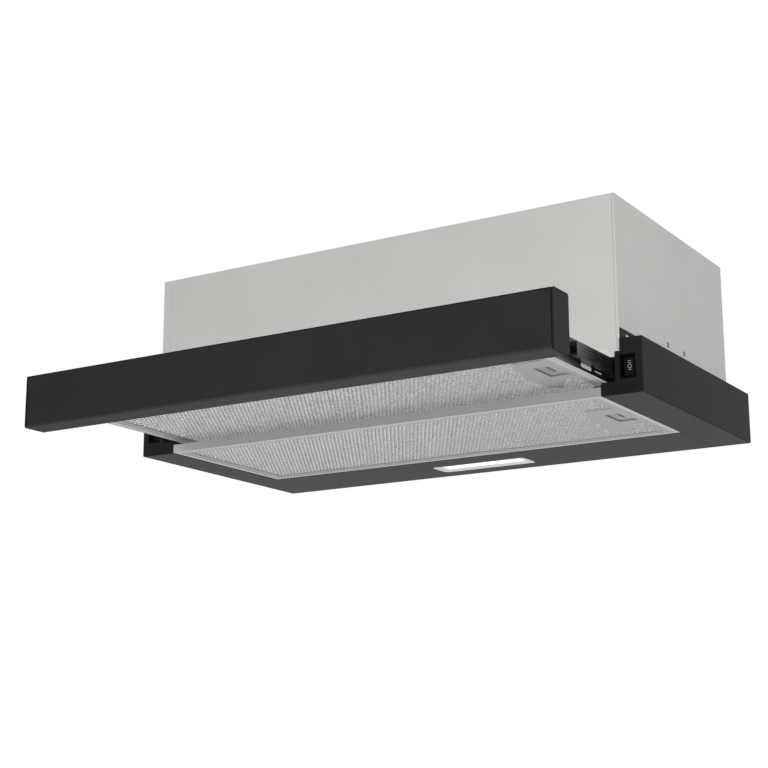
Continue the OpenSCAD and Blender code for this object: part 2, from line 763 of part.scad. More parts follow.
wheel_r = wheel_d / 2;
scroll_r = wheel_r + 6;
scroll_sheet = 1;
blower_z = housing_top - housing_sheet - 9.2 - scroll_r;
wheel_x0 = motor_len / 2 + 4;
scroll_x = wheel_x0 + wheel_w + 8;
mouth_y0 = blower_y + 8;
mouth_y1 = blower_y + scroll_r + 3 * scroll_step;
inlet_r = wheel_r - 8;
bell_r = 5;

// Side view of the scroll: three quarter turns of growing radius, then the mouth that leads up
module scroll_2d(grow) {
    z = blower_z;
    y = blower_y;
    a = scroll_step;
    top = housing_top - housing_sheet;
    intersection() {
        translate([y, z]) circle(r = scroll_r + grow, $fn = 96);
        rect(y - 2 * scroll_r, y, z, z + 2 * scroll_r);
    }
    intersection() {
        translate([y + a, z]) circle(r = scroll_r + a + grow, $fn = 96);
        rect(y - 2 * scroll_r, y + a, z - 2 * scroll_r, z);
    }
    intersection() {
        translate([y + a, z + a]) circle(r = scroll_r + 2 * a + grow, $fn = 96);
        rect(y + a, y + 3 * scroll_r, z - 2 * scroll_r, z + a);
    }
    rect(y, y + a, z, z + scroll_r + grow);
    rect(y + a, mouth_y1 + grow, z + a, z + scroll_r + grow);
    rect(mouth_y0 - grow, mouth_y1 + grow, z + scroll_r, top);
}

module blower_scroll() color("#d2d4d6") at_front() {
    top = housing_top - housing_sheet;
    difference() {
        along_x(-scroll_x, scroll_x) scroll_2d(scroll_sheet);
        along_x(-scroll_x - 1, scroll_x + 1) {
            scroll_2d(0);
            rect(mouth_y0, mouth_y1, top - 5, top + 1);
        }
    }
    for (y = [[mouth_y0 - 10, mouth_y0], [mouth_y1, mouth_y1 + 10]])
        block(-scroll_x, scroll_x, y[0], y[1], top - 1, top);
}

module at_shaft() at_front() translate([0, blower_y, blower_z]) children();

// Rings turned about the shaft, from a section in distance along the shaft and radius
module turned(x) translate([x, 0, 0]) rotate([0, 90, 0]) rotate_extrude($fn = 96) children();

module blower_end(side) color("#c8cacc") on_side(side) {
    at_front() difference() {
        along_x(scroll_x, scroll_x + scroll_sheet) scroll_2d(scroll_sheet);
        rod_x(scroll_x - 1, scroll_x + 2, blower_y, blower_z, inlet_r + bell_r);
    }
    at_shaft() turned(scroll_x + scroll_sheet - bell_r) difference() {
        translate([inlet_r + bell_r, 0]) circle(r = bell_r);
        translate([inlet_r + bell_r, 0]) circle(r = bell_r - scroll_sheet);
        rect(inlet_r + bell_r, inlet_r + 3 * bell_r, -bell_r, bell_r + 1);
        rect(0, inlet_r + 3 * bell_r, -bell_r - 1, 0);
    }
}

module motor_body() color("#8d9094") at_shaft() difference() {
    union() {
        rod_x(-12, 12, 0, 0, motor_d / 2);
        rod_x(-motor_len / 2 + 4, motor_len / 2 - 4, 0, 0, motor_d / 2 - 2);
        rod_x(-motor_len / 2, motor_len / 2, 0, 0, motor_d / 4);
    }
    rod_x(-motor_len, motor_len, 0, 0, shaft_r + shaft_play);
    for (a = [0:45:315]) rotate([a, 0, 0]) {
        rod_x(motor_len / 2 - 8, motor_len, 0, motor_d * 0.36, 4);
        rod_x(-motor_len, 8 - motor_len / 2, 0, motor_d * 0.36, 4);
    }
}

// A clamp ring round the motor, with arms to the wall of the scroll
module motor_bracket() color("#a9adb2") at_shaft() {
    ring = motor_d / 2;
    half = 6;
    foot = 8;
    difference() {
        rod_x(-half, half, 0, 0, ring + 2);
        rod_x(-half - 1, half + 1, 0, 0, ring);
    }
    for (a = [0, 90]) rotate([a, 0, 0]) mirror([0, a == 0 ? 1 : 0, 0]) {
        block(-half, half, ring + 1, scroll_r - 0.5, -1.2, 1.2);
        block(-half - foot, half + foot, scroll_r - 1.7, scroll_r - 0.5, -5, 5);
    }
    low = -scroll_r - scroll_step + 0.4;
    block(-half, half, scroll_step - 1.2, scroll_step + 1.2, low, -ring - 1);
    block(-half - foot, half + foot, scroll_step - 5, scroll_step + 5, low, low + 1.2);
}

module motor_shaft() color("#b9bcc0") at_shaft()
    rod_x(-wheel_x0 - 22, wheel_x0 + 22, 0, 0, shaft_r);

// One forward-curved blade: a stretch of a thin ring, cut to the depth of the blade ring
module blade_2d() {
    arc_r = 9;
    mid_r = wheel_r - 0.4 - blade_depth / 2;
    intersection() {
        difference() {
            circle(r = wheel_r - 0.4, $fn = 96);
            circle(r = wheel_r - 0.4 - blade_depth, $fn = 96);
        }
        translate([mid_r, 0]) rotate(20) translate([0, -7.5]) difference() {
            circle(r = arc_r);
            circle(r = arc_r - blade_t);
            rect(-2 * arc_r, 2 * arc_r, -2 * arc_r, 0);
        }
    }
}

module fan_wheel(side) color("#55585c") at_shaft() on_side(side) difference() {
    union() {
        rod_x(wheel_x0, wheel_x0 + 1.2, 0, 0, wheel_r);
        rod_x(wheel_x0, wheel_x0 + 16, 0, 0, 2.4 * shaft_r);
        turned(wheel_x0 + wheel_w - 3) rect(wheel_r - 2.4, wheel_r, 0, 3);
        translate([wheel_x0 + 1, 0, 0]) rotate([90, 0, 90]) for (i = [0:blade_n - 1])
            rotate(i * 360 / blade_n) linear_extrude(wheel_w - 2) blade_2d();
    }
    rod_x(wheel_x0 - 1, wheel_x0 + 20, 0, 0, shaft_r + hub_play);
    for (a = [0:60:300]) rotate([a, 0, 0]) rod_x(wheel_x0 - 1, wheel_x0 + 3, 0, wheel_r * 0.5, 6);
}

// ---------- electrics ----------

gland_r = 8;
gland_inset = 66;
gland_x = gland_inset - housing_x;
gland_y = 225;
capacitor_r = 15;
capacitor_len = 60;
capacitor_y = 60;
capacitor_gap = 30;

// A cylindrical capacitor, held under the top panel by a saddle, with two tabs on its end
module capacitor() color("#dcdcd8") at_front() {
    x0 = scroll_x + capacitor_gap;
    x1 = x0 + capacitor_len;
    z = housing_top - housing_sheet - capacitor_r - 1.6;
    rod_x(x0, x1, capacitor_y, z, capacitor_r);
    rod_x(x0 - 2, x0 + 1, capacitor_y, z, capacitor_r - 3);
    block(x0 + 18, x1 - 18, capacitor_y - capacitor_r, capacitor_y + capacitor_r, z, z + capacitor_r + 1.6);
    for (y = [-5, 5])
        block(x0 - 9, x0, capacitor_y + y - 0.4, capacitor_y + y + 0.4, z - 3.2, z + 3.2);
}

module terminal_box() color("#e6e6e2") at_front() {
    top = housing_top - housing_sheet;
    half_x = 32;
    half_y = 26;
    h = 34;
    wall = 1.6;
    translate([gland_x, gland_y, top - h]) {
        difference() {
            block(-half_x, half_x, -half_y, half_y, 0, h);
            block(wall - half_x, half_x - wall, wall - half_y, half_y - wall, wall, h + 1);
        }
        for (x = [-15, -5, 5, 15]) difference() {
            block(x - 4, x + 4, -22, -8, wall - eps, 14);
            rod_z(x, -12, 8, 15, 2);
            rod_y(x, -23, -15, 7, 1.6);
        }
    }
}

module cable_gland() color("#222222") at_front() difference() {
    union() {
        rod_z(gland_x, gland_y, housing_top - 8, housing_top + 1, gland_r);
        rod_z(gland_x, gland_y, housing_top, housing_top + 3, gland_r + 4);
        translate([gland_x, gland_y, housing_top + 3]) cylinder(r1 = gland_r, r2 = gland_r - 2, h = 9);
    }
    rod_z(gland_x, gland_y, housing_top - 9, housing_top + 13, 4);
}

// ---------- outlet ----------

collar_r = collar_d / 2;
collar_y = (mouth_y0 + mouth_y1) / 2;
collar_screw_x = collar_r + 6;
collar_flange_t = 2;
flap_z = housing_top + 12;
flap_gap = 2.2;
flap_t = 1.2;
flap_pin_r = 1.5;

function collar_screw_ys() = [collar_y - collar_r + 4, collar_y + collar_r - 4];

module outlet_collar() color("#262626") at_front() difference() {
    union() {
        translate([0, collar_y, housing_top]) linear_extrude(collar_flange_t)
            rounded_rect(-collar_r - 12, collar_r + 12, -collar_r - 4, collar_r + 4, 8);
        rod_z(0, collar_y, housing_top, housing_top + collar_h, collar_r);
    }
    difference() {
        rod_z(0, collar_y, housing_top - 1, housing_top + collar_h + 1, collar_r - collar_wall);
        difference() {
            rod_z(0, collar_y, flap_z - 2.8, flap_z - 0.8, collar_r);
            rod_z(0, collar_y, flap_z - 3, flap_z, collar_r - collar_wall - 3);
            block(-collar_r, collar_r, collar_y - 7, collar_y + 7, flap_z - 3, flap_z);
        }
    }
    for (s = [-1, 1])
        rod_x(-collar_r - 1, collar_r + 1, collar_y + s * flap_gap, flap_z, flap_pin_r + 0.05);
    for (x = [-collar_screw_x, collar_screw_x], y = collar_screw_ys())
        rod_z(x, y, housing_top - 1, housing_top + 3, screw_r);
}

// A half-moon flap with a stub pin at each end, which lies on the lip inside the collar
module flap(side) color("#30343a") at_front() translate([0, collar_y, flap_z])
mirror([0, side > 0 ? 1 : 0, 0]) {
    r = collar_r - collar_wall - 0.9;
    translate([0, 0, -flap_t / 2]) linear_extrude(flap_t) intersection() {
        circle(r = r, $fn = 96);
        rect(-r, r, -r, -0.6);
    }
    rod_x(-collar_r + 0.8, collar_r - 0.8, -flap_gap, 0, flap_pin_r);
    for (x = [-24, 0, 24]) block(x - 0.6, x + 0.6, 8 - r, -flap_gap, 0, flap_t / 2 + 1.2);
}

module case_screws() color("#9a9a9a") at_front() {
    for (s = [LEFT, RIGHT], y = top_screw_ys()) translate([s * (housing_x - 7), y, housing_top]) screw();
    for (x = [-collar_screw_x, collar_screw_x], y = collar_screw_ys())
        translate([x, y, housing_top + collar_flange_t]) screw();
}

// ---------- nodes ----------

rail_cover(LEFT);  // rail_cover_left
rail_cover(RIGHT);  // rail_cover_right
front_block(LEFT);  // front_block_left
front_block(RIGHT);  // front_block_right
rear_strip();
filter_ledge(LEFT);  // filter_ledge_left
filter_ledge(RIGHT);  // filter_ledge_right
housing_front();
housing_side(LEFT);  // housing_side_left
housing_side(RIGHT);  // housing_side_right
housing_top_panel();
housing_back();
outer_slide(LEFT);  // outer_slide_left
outer_slide(RIGHT);  // outer_slide_right
middle_slide(LEFT);  // middle_slide_left
middle_slide(RIGHT);  // middle_slide_right
inner_slide(LEFT);  // inner_slide_left
inner_slide(RIGHT);  // inner_slide_right
outer_ball_cage(LEFT);  // outer_ball_cage_left
outer_ball_cage(RIGHT);  // outer_ball_cage_right
inner_ball_cage(LEFT);  // inner_ball_cage_left
inner_ball_cage(RIGHT);  // inner_ball_cage_right
switch_body(LEFT);  // light_switch_body
switch_body(RIGHT);  // speed_switch_body
light_rocker();
speed_rocker();
lamp_bezel();
lamp_lens();
led_board();
blower_scroll();
blower_end(LEFT);  // blower_end_left
blower_end(RIGHT);  // blower_end_right
motor_body();
motor_bracket();
motor_shaft();
fan_wheel(LEFT);  // fan_wheel_left
fan_wheel(RIGHT);  // fan_wheel_right
capacitor();
terminal_box();
cable_gland();
outlet_collar();
flap(LEFT);  // flap_front
flap(RIGHT);  // flap_rear
case_screws();
case_filter_frame();
case_filter_pad();
case_latch();
case_latch_spring();
fascia();
fascia_cap(LEFT);  // fascia_cap_left
fascia_cap(RIGHT);  // fascia_cap_right
drawer_side(LEFT);  // drawer_side_left
drawer_side(RIGHT);  // drawer_side_right
drawer_rear_bar();
drawer_screws();
drawer_filter_frame();
drawer_filter_pad();
drawer_latch();
drawer_latch_spring();
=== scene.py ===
import bpy
import bmesh
import math
from mathutils import Matrix, Vector


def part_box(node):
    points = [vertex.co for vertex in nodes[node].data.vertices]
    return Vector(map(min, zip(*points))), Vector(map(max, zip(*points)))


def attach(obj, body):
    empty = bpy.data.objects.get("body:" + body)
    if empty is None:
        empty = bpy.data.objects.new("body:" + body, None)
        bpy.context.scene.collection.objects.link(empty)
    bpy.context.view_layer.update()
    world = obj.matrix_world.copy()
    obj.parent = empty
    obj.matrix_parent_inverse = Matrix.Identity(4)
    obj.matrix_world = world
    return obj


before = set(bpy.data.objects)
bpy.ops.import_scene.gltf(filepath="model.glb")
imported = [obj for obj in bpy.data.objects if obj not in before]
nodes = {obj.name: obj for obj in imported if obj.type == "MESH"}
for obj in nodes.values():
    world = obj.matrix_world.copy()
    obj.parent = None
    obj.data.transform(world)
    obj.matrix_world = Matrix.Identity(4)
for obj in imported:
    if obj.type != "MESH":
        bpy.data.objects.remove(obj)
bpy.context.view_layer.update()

# ---------------------------------------------------------------- camera
# A long lens below the hood, at the right of its drawer. It looks up at the filters.
camera_data = bpy.data.cameras.new("camera")
camera_data.sensor_width = 36
camera_data.lens = 77.325
camera_data.clip_end = 20
camera = bpy.data.objects.new("camera", camera_data)
camera.matrix_world = Matrix((
    (0.84939833, 0.12496053, 0.51274491, 0.881557),
    (0.52774522, -0.19608908, -0.82645874, -1.446037),
    (-0.00273105, 0.97259135, -0.23250506, -0.349129),
    (0, 0, 0, 1)))
bpy.context.scene.collection.objects.link(camera)
bpy.context.scene.camera = camera
bpy.context.scene.view_settings.view_transform = "Standard"


# ---------------------------------------------------------------- studio
# A white room: an even light from all round, soft lamps in front, at the side and behind, and a pale
# floor far below the hood. The lamp under the front fills in and casts no shadow.
ROOM_LIGHT = 0.22       # strength of the even light on the hood
FLOOR_RADIUS = 9
FLOOR_HEIGHT = -1.95
FLOOR_WHITE = 0.55      # share of plain white in the floor as the camera sees it
LAMPS_AIM = Vector((0, 0, 0.1))
# Each lamp's name, place, size, power in watts, and whether it casts a shadow.
LAMPS = (("fill_lamp", (0.5, -1.1, -1.7), 1.2, 60, False),
         ("side_lamp", (2.0, -0.5, 0.4), 1.2, 17, True),
         ("front_lamp", (-0.9, -2.2, 1.3), 1.6, 10, True),
         ("back_lamp", (-0.9, 2.2, 1.7), 1.6, 50, True))


def linear(code):
    """An sRGB hex colour as linear red, green, blue and alpha."""
    parts = [int(code[i:i + 2], 16) / 255 for i in (1, 3, 5)]
    return [c / 12.92 if c <= 0.04045 else ((c + 0.055) / 1.055) ** 2.4 for c in parts] + [1]


def add(tree, kind, inputs=None, stops=(), **settings):
    """Adds a shader node with its settings, a value or a link for each input, and a ramp's colour stops."""
    node = tree.nodes.new("ShaderNode" + kind)
    for name, value in settings.items():
        setattr(node, name, value)
    for socket, value in (inputs or {}).items():
        if isinstance(value, bpy.types.NodeSocket):
            tree.links.new(value, node.inputs[socket])
        else:
            node.inputs[socket].default_value = value
    if stops:
        while len(node.color_ramp.elements) < len(stops):
            node.color_ramp.elements.new(0.5)
        for element, (place, code) in zip(node.color_ramp.elements, stops):
            element.position = place
            element.color = linear(code)
    return node


def sees_white(tree, *kinds):
    """1 for the named kinds of ray, which see the room as plain white, and 0 for all others."""
    path = add(tree, "LightPath")
    seen = path.outputs["Is %s Ray" % kinds[0]]
    for kind in kinds[1:]:
        ray = path.outputs["Is %s Ray" % kind]
        seen = add(tree, "Math", {0: seen, 1: ray}, operation="MAXIMUM").outputs[0]
    return seen


room = bpy.data.worlds.new("white_room")
room.use_nodes = True
bpy.context.scene.world = room
tree = room.node_tree
tree.nodes.clear()
lit = add(tree, "Background", {"Color": linear("#ffffff"), "Strength": ROOM_LIGHT})
shown = add(tree, "Background", {"Color": linear("#ffffff"), "Strength": 1})
both = add(tree, "MixShader", {0: sees_white(tree, "Camera", "Glossy", "Transmission"),
                               1: lit.outputs[0], 2: shown.outputs[0]})
add(tree, "OutputWorld", {"Surface": both.outputs[0]})

for name, place, size, power, shadow in LAMPS:
    lamp_data = bpy.data.lights.new(name, "AREA")
    lamp_data.size = size
    lamp_data.energy = power
    lamp_data.use_shadow = shadow
    lamp = bpy.data.objects.new(name, lamp_data)
    lamp.location = place
    lamp.rotation_euler = (LAMPS_AIM - Vector(place)).to_track_quat("-Z", "Y").to_euler()
    bpy.context.scene.collection.objects.link(lamp)

bpy.ops.mesh.primitive_circle_add(vertices=96, radius=FLOOR_RADIUS, fill_type="NGON",
                                  location=(0, 0, FLOOR_HEIGHT))
floor = bpy.context.object
floor.name = "pale_floor"
floor_paint = bpy.data.materials.new("pale_floor_paint")
floor_paint.use_nodes = True
tree = floor_paint.node_tree
tree.nodes.clear()
seen = add(tree, "Math", {0: sees_white(tree, "Camera", "Glossy"), 1: FLOOR_WHITE}, operation="MULTIPLY")
grain = add(tree, "TexNoise", {"Vector": add(tree, "TexCoord").outputs["Object"], "Scale": 3})
tone = add(tree, "ValToRGB", {"Fac": grain.outputs["Fac"]}, stops=((0, "#ececea"), (1, "#f4f4f3")))
matt = add(tree, "BsdfDiffuse", {"Color": tone.outputs["Color"]})
glow = add(tree, "Emission", {"Color": linear("#ffffff"), "Strength": 1})
both = add(tree, "MixShader", {0: seen.outputs[0], 1: matt.outputs[0], 2: glow.outputs[0]})
add(tree, "OutputMaterial", {"Surface": both.outputs[0]})
floor.data.materials.append(floor_paint)


# ---------------------------------------------------------------- black rails and rear strip
# The base: two folded steel rails and the plate behind the filters, in a smooth semi-matt black
# paint. The paint has a faint orange peel, so the undersides catch a soft light at a low angle.
MM = 0.001
BUMP_STRENGTH = 0.4


def new_material(name, **values):
    """A material with one Principled shader, whose plain values are given by socket name."""
    material = bpy.data.materials.new(name)
    material.use_nodes = True
    tree = material.node_tree
    tree.nodes.clear()
    shader = add(tree, "BsdfPrincipled", {k.replace("_", " "): v for k, v in values.items()})
    add(tree, "OutputMaterial", {"Surface": shader.outputs[0]})
    where = add(tree, "TexCoord").outputs["Object"]
    return material, tree, shader, where


def finish(tree, shader, tone, rough=None, height=None, depth=0):
    """Gives the shader its colours, its roughness as (amount, low, high), and a relief of some depth.

    The tone is a link, or a noise with its two colours. Noise lies mostly between 0.3 and 0.7.
    """
    if isinstance(tone, tuple):
        amount, low, high = tone
        tone = add(tree, "ValToRGB", {"Fac": amount}, stops=((0.3, low), (0.7, high))).outputs["Color"]
    tree.links.new(tone, shader.inputs["Base Color"])
    if rough is not None:
        amount, low, high = rough
        spread = add(tree, "MapRange", {"Value": amount, "To Min": low, "To Max": high})
        tree.links.new(spread.outputs["Result"], shader.inputs["Roughness"])
    if height is not None:
        bump = add(tree, "Bump", {"Height": height, "Distance": depth, "Strength": BUMP_STRENGTH})
        tree.links.new(bump.outputs["Normal"], shader.inputs["Normal"])


def paint(material, *names):
    """Gives CAD nodes their material."""
    for name in names:
        mesh = nodes[name].data
        mesh.materials.clear()
        mesh.materials.append(material)


semi_matt_black, tree, shader, where = new_material("semi_matt_black_paint", Metallic=0.0,
                                                    Specular_IOR_Level=0.04)
peel = add(tree, "TexNoise", {"Vector": where, "Scale": 1 / (1.4 * MM), "Detail": 2}).outputs["Fac"]
cloud = add(tree, "TexNoise", {"Vector": where, "Scale": 1 / (45 * MM), "Detail": 3}).outputs["Fac"]
finish(tree, shader, (cloud, "#181818", "#1c1c1c"), rough=(cloud, 0.38, 0.44), height=peel, depth=0.02 * MM)
paint(semi_matt_black, "rail_cover_left", "rail_cover_right", "rear_strip", "filter_ledge_left",
      "filter_ledge_right")


# ---------------------------------------------------------------- front blocks
# Moulded ABS caps in the front ends of the rails. The face has the fine, dull grain of a spark-
# eroded mould.
moulded_black, tree, shader, where = new_material("fine_grained_black_abs", Metallic=0.0,
                                                  Specular_IOR_Level=0.08)
grain = add(tree, "TexNoise", {"Vector": where, "Scale": 1 / (0.35 * MM), "Detail": 3}).outputs["Fac"]
cloud = add(tree, "TexNoise", {"Vector": where, "Scale": 1 / (20 * MM), "Detail": 2}).outputs["Fac"]
finish(tree, shader, (cloud, "#171717", "#1c1c1c"), rough=(grain, 0.55, 0.72), height=grain,
       depth=0.015 * MM)
paint(moulded_black, "front_block_left", "front_block_right")


# ---------------------------------------------------------------- motor housing
# Folded sheet steel with a light grey powder coat, its top panel screwed to the sides. The coat is
# matt, with a very fine texture. The sheet round the two small holes in each side is painted dark, as
# painted shade of the holes.
HOLES_Y = (71.5 * MM, 114.5 * MM)
HOLES_Z = 75 * MM
HOLE_SHADE_RADIUS = 2.8 * MM      # of the painted shade round each hole
grey_coat, tree, shader, where = new_material("light_grey_powder_coat", Metallic=0.0, IOR=1.5)
speck = add(tree, "TexNoise", {"Vector": where, "Scale": 1 / (0.6 * MM), "Detail": 4}).outputs["Fac"]
cloud = add(tree, "TexNoise", {"Vector": where, "Scale": 1 / (70 * MM), "Detail": 2}).outputs["Fac"]
base = add(tree, "ValToRGB", {"Fac": cloud}, stops=((0.3, "#c2c2c0"), (0.7, "#c6c6c4"))).outputs["Color"]
fine = add(tree, "ValToRGB", {"Fac": speck}, stops=((0.35, "#f3f3f2"), (0.65, "#ffffff"))).outputs["Color"]
tone = add(tree, "Mix", {"Factor": 1.0, 6: base, 7: fine}, data_type="RGBA", blend_type="MULTIPLY")
flat = add(tree, "Mapping", {"Vector": where, "Scale": (0, 1, 1)}).outputs[0]
# Painted shade: a dark disc on the sheet round each hole, where the hole lies in shade.
for hole_y in HOLES_Y:
    away = add(tree, "VectorMath", {0: flat, 1: (0, hole_y, HOLES_Z)}, operation="DISTANCE")
    hole_shade = add(tree, "Math", {0: away.outputs["Value"], 1: HOLE_SHADE_RADIUS}, operation="LESS_THAN").outputs[0]
    tone = add(tree, "Mix", {"Factor": hole_shade, 6: tone.outputs[2], 7: linear("#1c1c1c")}, data_type="RGBA")
finish(tree, shader, tone.outputs[2], rough=(speck, 0.5, 0.62), height=speck, depth=0.02 * MM)
paint(grey_coat, "housing_front", "housing_side_left", "housing_side_right", "housing_top_panel",
      "housing_back")


# ---------------------------------------------------------------- drawer frame
# Thin steel angles with the same grey paint, but smoother, because they are rolled before they
# are painted. Their undersides are painted darker, as painted shade.
UNDERSIDE_SHADE_HEIGHT = 3 * MM
smooth_grey, tree, shader, where = new_material("smooth_light_grey_paint", Metallic=0.0,
                                                Specular_IOR_Level=0.15)
stretch = add(tree, "Mapping", {"Vector": where, "Scale": (1, 0.06, 1)}).outputs[0]
streak = add(tree, "TexNoise", {"Vector": stretch, "Scale": 1 / (0.9 * MM), "Detail": 3}).outputs["Fac"]
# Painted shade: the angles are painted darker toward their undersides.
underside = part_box("drawer_side_right")[0].z
rise = add(tree, "SeparateXYZ", {"Vector": where}).outputs["Z"]
rise = add(tree, "MapRange", {"Value": rise, "From Min": underside, "From Max": underside + UNDERSIDE_SHADE_HEIGHT})
underside_shade = add(tree, "ValToRGB", {"Fac": rise.outputs[0]}, stops=((0.4, "#979796"), (0.9, "#d8d8d6")))
streaks = add(tree, "ValToRGB", {"Fac": streak}, stops=((0.3, "#f2f2f2"), (0.7, "#ffffff")))
both = add(tree, "Mix", {"Factor": 1.0, 6: underside_shade.outputs["Color"], 7: streaks.outputs["Color"]},
           data_type="RGBA", blend_type="MULTIPLY")
finish(tree, shader, both.outputs[2], rough=(streak, 0.45, 0.6), height=streak, depth=0.01 * MM)
paint(smooth_grey, "drawer_side_left", "drawer_side_right", "drawer_rear_bar")


# ---------------------------------------------------------------- outlet collar, flaps, cable gland
# Injection-moulded polypropylene. The collar is screwed to the top panel, and the flaps turn on pins
# in it. The plastic looks slightly greasy, with faint flow marks.
black_pp, tree, shader, where = new_material("black_polypropylene", Metallic=0.0, IOR=1.49)
flow = add(tree, "TexNoise", {"Vector": where, "Scale": 1 / (9 * MM), "Detail": 3, "Distortion": 0.8})
flow = flow.outputs["Fac"]
grain = add(tree, "TexNoise", {"Vector": where, "Scale": 1 / (0.5 * MM), "Detail": 2}).outputs["Fac"]
finish(tree, shader, (flow, "#1b1b1c", "#212122"), rough=(flow, 0.38, 0.52), height=grain, depth=0.01 * MM)
paint(black_pp, "outlet_collar", "flap_front", "flap_rear", "cable_gland")


# ---------------------------------------------------------------- fan casing
# Hot-dip galvanised sheet, rolled and spot-welded. The zinc has flat crystals about 9 mm wide
# that each catch the light a little differently.
galvanised, tree, shader, where = new_material("galvanised_sheet", Metallic=1.0)
cells = add(tree, "TexVoronoi", {"Vector": where, "Scale": 1 / (9 * MM)})
tint = add(tree, "SeparateColor", {"Color": cells.outputs["Color"]}).outputs[0]
tone = add(tree, "ValToRGB", {"Fac": tint}, stops=((0.0, "#b4b7ba"), (1.0, "#cfd2d4"))).outputs["Color"]
finish(tree, shader, tone, rough=(tint, 0.28, 0.46), height=tint, depth=0.01 * MM)
paint(galvanised, "blower_scroll", "blower_end_left", "blower_end_right", "motor_bracket")


# ---------------------------------------------------------------- motor, shaft and screws
# A stack of stamped laminations between two end shields, dipped in grey varnish. The layers of the
# stack are drawn coarser than they are, so that they show.
varnished_iron, tree, shader, where = new_material("varnished_laminations", Metallic=0.7)
layers = add(tree, "TexWave", {"Vector": where, "Scale": 1 / (10 * MM), "Distortion": 0.4},
             bands_direction="X").outputs["Fac"]
cloud = add(tree, "TexNoise", {"Vector": where, "Scale": 1 / (6 * MM), "Detail": 3}).outputs["Fac"]
finish(tree, shader, (cloud, "#6c6f73", "#85888c"), rough=(cloud, 0.4, 0.6), height=layers, depth=0.05 * MM)
paint(varnished_iron, "motor_body")

# The ground shaft and the drawer's screws are bright steel with fine turning marks.
bright_steel, tree, shader, where = new_material("bright_ground_steel", Metallic=1.0)
turning = add(tree, "TexNoise", {"Vector": where, "Scale": 1 / (0.4 * MM), "Detail": 2}).outputs["Fac"]
finish(tree, shader, (turning, "#b2b4b6", "#c6c8ca"), rough=(turning, 0.22, 0.36), height=turning,
       depth=0.005 * MM)
paint(bright_steel, "motor_shaft", "drawer_screws")

# The case screws are black, from a zinc and nickel bath.
black_zinc, tree, shader, where = new_material("black_zinc_nickel", Metallic=0.0, Specular_IOR_Level=0.3)
patch = add(tree, "TexNoise", {"Vector": where, "Scale": 1 / (0.8 * MM), "Detail": 2}).outputs["Fac"]
finish(tree, shader, (patch, "#2c2c2d", "#363637"), rough=(patch, 0.4, 0.5))
paint(black_zinc, "case_screws")


# ---------------------------------------------------------------- fan wheels
# Two squirrel-cage wheels of glass-filled nylon, moulded in one piece each and pressed on the shaft.
# The fibres leave the surface dull and mottled.
filled_nylon, tree, shader, where = new_material("glass_filled_nylon", Metallic=0.0, IOR=1.53)
fibre = add(tree, "TexNoise", {"Vector": where, "Scale": 1 / (0.7 * MM), "Detail": 4}).outputs["Fac"]
finish(tree, shader, (fibre, "#3b3d40", "#494b4e"), rough=(fibre, 0.5, 0.7), height=fibre, depth=0.015 * MM)
paint(filled_nylon, "fan_wheel_left", "fan_wheel_right")


# ---------------------------------------------------------------- capacitor and terminal box
# The cases of the motor's capacitor and of the mains terminals, moulded in off-white ABS, plain and a
# little glossy.
off_white, tree, shader, where = new_material("off_white_abs", Metallic=0.0, IOR=1.54)
cloud = add(tree, "TexNoise", {"Vector": where, "Scale": 1 / (15 * MM), "Detail": 2}).outputs["Fac"]
grain = add(tree, "TexNoise", {"Vector": where, "Scale": 1 / (0.4 * MM), "Detail": 2}).outputs["Fac"]
finish(tree, shader, (cloud, "#dcdcd6", "#e4e4de"), rough=(grain, 0.32, 0.44), height=grain,
       depth=0.006 * MM)
paint(off_white, "capacitor", "terminal_box")


# ---------------------------------------------------------------- lamp
# A grey polycarbonate bezel clipped into the rear strip, with an opal lens, and the LED board behind
# it. The lens is brightest in the middle and grows dim toward its edge, where the bezel holds it.
LENS_DARK = 4 * MM          # in from the edge of the lens, where its glow starts
LENS_BRIGHT = 10 * MM       # in from the edge, where its glow is full
grey_pc, tree, shader, where = new_material("grey_polycarbonate", Metallic=0.0, IOR=1.58)
grain = add(tree, "TexNoise", {"Vector": where, "Scale": 1 / (0.5 * MM), "Detail": 2}).outputs["Fac"]
finish(tree, shader, (grain, "#a9a9a9", "#b3b3b3"), rough=(grain, 0.35, 0.48), height=grain,
       depth=0.008 * MM)
paint(grey_pc, "lamp_bezel")

opal, tree, shader, where = new_material("opal_diffuser", Metallic=0.0, IOR=1.49, Roughness=0.35,
                                         Emission_Strength=0.75)
low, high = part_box("lamp_lens")
off_centre = add(tree, "VectorMath", {0: where, 1: -(low + high) / 2}, operation="ADD").outputs[0]
off_centre = add(tree, "VectorMath", {0: off_centre}, operation="ABSOLUTE").outputs[0]
inward = add(tree, "VectorMath", {0: (high - low) / 2, 1: off_centre}, operation="SUBTRACT").outputs[0]
inward = add(tree, "SeparateXYZ", {"Vector": inward})
inward = add(tree, "Math", {0: inward.outputs["X"], 1: inward.outputs["Y"]}, operation="MINIMUM").outputs[0]
inward = add(tree, "MapRange", {"Value": inward, "From Min": LENS_DARK, "From Max": LENS_BRIGHT}).outputs[0]
# The lens's own colour is also painted darker toward its edge, as painted shade where the bezel holds it.
tone = add(tree, "ValToRGB", {"Fac": inward}, stops=((0.0, "#8c8c8c"), (0.5, "#d8d8d6"), (1.0, "#f8f8f6")))
glow = add(tree, "ValToRGB", {"Fac": inward}, stops=((0.0, "#202020"), (0.5, "#a8a8a6"), (1.0, "#fffffb")))
finish(tree, shader, tone.outputs["Color"])
tree.links.new(glow.outputs["Color"], shader.inputs["Emission Color"])
paint(opal, "lamp_lens")

board, tree, shader, where = new_material("white_solder_mask", Metallic=0.0, IOR=1.5)
weave = add(tree, "TexNoise", {"Vector": where, "Scale": 1 / (0.8 * MM), "Detail": 2}).outputs["Fac"]
finish(tree, shader, (weave, "#e2e2da", "#efefe8"), rough=(weave, 0.3, 0.4))
paint(board, "led_board")


